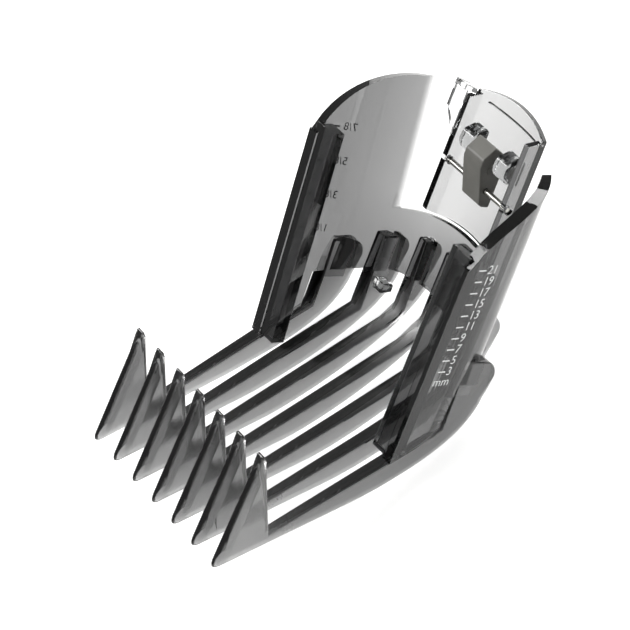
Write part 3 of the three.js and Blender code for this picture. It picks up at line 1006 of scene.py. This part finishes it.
def area_light(name, location, target, size, power):
    """A softbox: sizes in metres, power in watts."""
    data = bpy.data.lights.new(name, "AREA")
    data.shape = "RECTANGLE"
    data.size, data.size_y = size
    data.energy = power
    lamp = bpy.data.objects.new(name, data)
    bpy.context.scene.collection.objects.link(lamp)
    lamp.location = location
    lamp.rotation_euler = (Vector(target) - Vector(location)).to_track_quat("-Z", "Y").to_euler()


class GUIDECOMB_OT_stage(bpy.types.Operator):
    """Pale table, soft light and the camera"""

    bl_idname = "guidecomb.stage"
    bl_label = "Stage"

    def execute(self, context):
        scene = context.scene
        scene.view_settings.view_transform = "Standard"
        # Light has to pass many thin walls to reach the eye through seven ribs.
        scene.cycles.max_bounces = 32
        scene.cycles.transmission_bounces = 28
        world = bpy.data.worlds.new("Studio")
        world.use_nodes = True
        sky = world.node_tree.nodes["Background"].inputs
        sky["Color"].default_value = (1, 1, 1, 1)
        sky["Strength"].default_value = 0.3
        scene.world = world
        reach, gap = 3, 0.0002  # in metres; the gap keeps the heel and the table from sharing a plane
        corners = [(-reach, -reach, 0), (reach, -reach, 0), (reach, reach, 0), (-reach, reach, 0)]
        floor = mesh_object("table_top", corners, [(0, 1, 2, 3)])
        floor.data.transform(Matrix.Translation((0, 0, CAD_BOX[0].z - gap)))
        # Back-lit acrylic: it glows evenly, so the clear plastic is seen against white from every side.
        acrylic, shader = new_material("Lit white acrylic")
        set_shader(shader, Base_Color=(*colours().table, 1), Roughness=0.6, IOR=1.45)
        set_shader(shader, Emission_Color=(1, 1, 1, 1), Emission_Strength=0.72)
        floor.data.materials.append(acrylic)
        area_light("Key light", (-0.5, -0.35, 0.75), (0, 0, 0.015), (0.5, 0.5), 6)
        area_light("Rim light", (-0.25, 0.7, 0.45), (0, 0, 0.02), (0.5, 0.3), 4)
        data = bpy.data.cameras.new("Camera")
        data.lens = CAMERA["lens"]
        data.sensor_width = 36
        data.clip_start, data.clip_end = 0.01, 20
        camera = bpy.data.objects.new("Camera", data)
        scene.collection.objects.link(camera)
        azimuth, elevation, roll = (math.radians(CAMERA[key]) for key in ("azimuth", "elevation", "roll"))
        aim = sleeve_to_world() @ Vector(CAMERA["aim"])
        back = Vector((math.sin(azimuth) * math.cos(elevation), -math.cos(azimuth) * math.cos(elevation),
                       math.sin(elevation)))
        camera.location = aim + back * sizes().view_distance
        turn = (-back).to_track_quat("-Z", "Y").to_matrix().to_4x4() @ Matrix.Rotation(roll, 4, "Z")
        camera.rotation_euler = turn.to_euler()
        scene.camera = camera
        return {"FINISHED"}


class GUIDECOMB_PT_panel(bpy.types.Panel):
    """Lists the pieces of the guide comb, in the order that they are built"""

    bl_idname = "GUIDECOMB_PT_panel"
    bl_label = "Guide comb"
    bl_space_type = "VIEW_3D"
    bl_region_type = "UI"
    bl_category = "Guide comb"

    def draw(self, context):
        for operator in PIECES:
            self.layout.operator(operator.bl_idname)
        for group in (context.scene.guide_comb_sizes, context.scene.guide_comb_colours):
            box = self.layout.box()
            for name in group.__annotations__:
                box.prop(group, name)


PIECES = (GUIDECOMB_OT_comb, GUIDECOMB_OT_selector, GUIDECOMB_OT_latch, GUIDECOMB_OT_scales, GUIDECOMB_OT_stage)
CLASSES = (GuideCombSizes, GuideCombColours, *PIECES, GUIDECOMB_PT_panel)


def register():
    for item in CLASSES:
        bpy.utils.register_class(item)
    bpy.types.Scene.guide_comb_sizes = bpy.props.PointerProperty(type=GuideCombSizes)
    bpy.types.Scene.guide_comb_colours = bpy.props.PointerProperty(type=GuideCombColours)


def unregister():
    del bpy.types.Scene.guide_comb_colours
    del bpy.types.Scene.guide_comb_sizes
    for item in reversed(CLASSES):
        bpy.utils.unregister_class(item)


def main():
    register()
    bpy.ops.guidecomb.comb()
    bpy.ops.guidecomb.selector()
    bpy.ops.guidecomb.latch()
    bpy.ops.guidecomb.scales()
    bpy.ops.guidecomb.stage()


if __name__ == "__main__":
    main()
